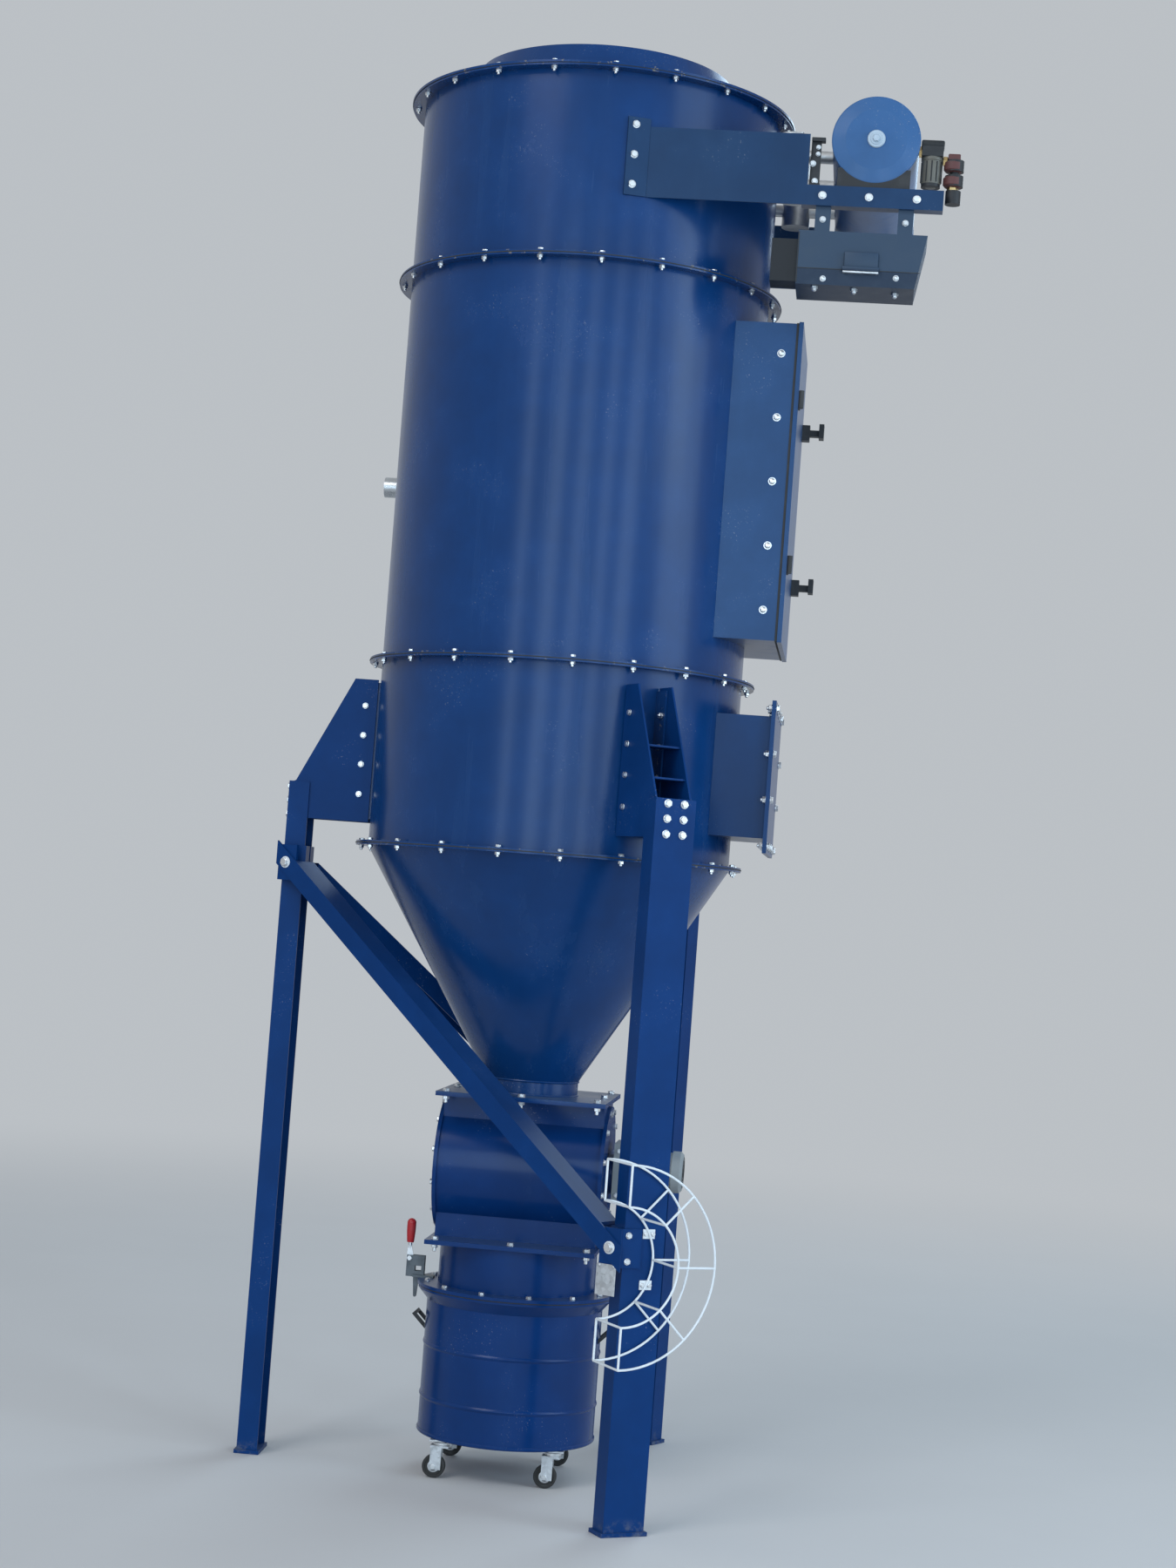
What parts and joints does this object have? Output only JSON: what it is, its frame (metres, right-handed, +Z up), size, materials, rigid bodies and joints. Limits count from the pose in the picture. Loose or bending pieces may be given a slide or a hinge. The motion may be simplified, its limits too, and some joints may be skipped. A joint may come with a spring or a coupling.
{
  "type": "cyclone separator",
  "caption": "Round cyclone separator with filter head, cone, rotary valve and wheeled dust drum, on three channel legs.",
  "frame": {"origin": "vessel axis at floor level, which is the centre of the circle of the three anchor holes", "axes": "+Z up along the vessel axis, -Y to the front, +X to the side with the access door"},
  "size_m": [1.7516, 1.5004, 3.868],
  "materials": {
    "blue_paint": "gloss",
    "tank_paint": "satin",
    "dark_paint": "satin",
    "white_wire": "white coating on steel wire",
    "zinc": "zinc plated",
    "lever": "red grip on a zinc lever",
    "black_steel": "satin",
    "wheel_rubber": "matt",
    "grey_cast": "grey paint"
  },
  "bodies": {
    "frame": {"head_lid": "blue_paint", "head_shell": "blue_paint", "upper_barrel": "blue_paint", "lower_barrel": "blue_paint", "cone": "blue_paint", "valve_body": "blue_paint", "valve_ends": "blue_paint", "gearmotor": "grey_cast", "outlet_ring": "blue_paint", "drum_lid": "blue_paint", "drum": "blue_paint", "drum_handles": "black_steel", "clamp_bracket_left": "zinc", "clamp_bracket_right": "zinc", "castor_plates": "zinc", "leg_left": "blue_paint", "leg_front": "blue_paint", "leg_back": "blue_paint", "leg_bracket_left": "blue_paint", "leg_bracket_front": "blue_paint", "leg_bracket_back": "blue_paint", "brace_front": "blue_paint", "brace_back": "blue_paint", "hose_rack": "white_wire", "door_frame": "blue_paint", "access_door": "blue_paint", "door_fittings": "black_steel", "port_duct": "blue_paint", "port_cover": "blue_paint", "outlet_spigot": "blue_paint", "tank_brackets": "blue_paint", "tank_saddles": "black_steel", "air_tank": "tank_paint", "pulse_valves": "zinc", "regulator": "black_steel", "control_box": "dark_paint"},
    "lever_left": {"clamp_lever_left": "lever"},
    "lever_right": {"clamp_lever_right": "lever"},
    "swivel_1": {"castor_fork_1": "zinc"},
    "wheel_1": {"castor_wheel_1": "wheel_rubber"},
    "swivel_2": {"castor_fork_2": "zinc"},
    "wheel_2": {"castor_wheel_2": "wheel_rubber"},
    "swivel_3": {"castor_fork_3": "zinc"},
    "wheel_3": {"castor_wheel_3": "wheel_rubber"},
    "swivel_4": {"castor_fork_4": "zinc"},
    "wheel_4": {"castor_wheel_4": "wheel_rubber"}
  },
  "joints": [
    {"name": "lever_left_hinge", "type": "hinge", "parent": "frame", "child": "lever_left", "pos_m": [-0.3, 0, 0.56], "axis": [0, -1, 0], "range_deg": [0, 120]},
    {"name": "lever_right_hinge", "type": "hinge", "parent": "frame", "child": "lever_right", "pos_m": [0.3, 0, 0.56], "axis": [0, 1, 0], "range_deg": [0, 120]},
    {"name": "swivel_1_turn", "type": "hinge", "parent": "frame", "child": "swivel_1", "pos_m": [-0.15132, -0.15132, 0.1], "axis": [0, 0, 1], "continuous": true},
    {"name": "wheel_1_roll", "type": "hinge", "parent": "swivel_1", "child": "wheel_1", "pos_m": [-0.16932, -0.15132, 0.031], "axis": [0, 1, 0], "continuous": true},
    {"name": "swivel_2_turn", "type": "hinge", "parent": "frame", "child": "swivel_2", "pos_m": [0.15132, -0.15132, 0.1], "axis": [0, 0, 1], "continuous": true},
    {"name": "wheel_2_roll", "type": "hinge", "parent": "swivel_2", "child": "wheel_2", "pos_m": [0.13332, -0.15132, 0.031], "axis": [0, 1, 0], "continuous": true},
    {"name": "swivel_3_turn", "type": "hinge", "parent": "frame", "child": "swivel_3", "pos_m": [0.15132, 0.15132, 0.1], "axis": [0, 0, 1], "continuous": true},
    {"name": "wheel_3_roll", "type": "hinge", "parent": "swivel_3", "child": "wheel_3", "pos_m": [0.13332, 0.15132, 0.031], "axis": [0, 1, 0], "continuous": true},
    {"name": "swivel_4_turn", "type": "hinge", "parent": "frame", "child": "swivel_4", "pos_m": [-0.15132, 0.15132, 0.1], "axis": [0, 0, 1], "continuous": true},
    {"name": "wheel_4_roll", "type": "hinge", "parent": "swivel_4", "child": "wheel_4", "pos_m": [-0.16932, 0.15132, 0.031], "axis": [0, 1, 0], "continuous": true}
  ]
}
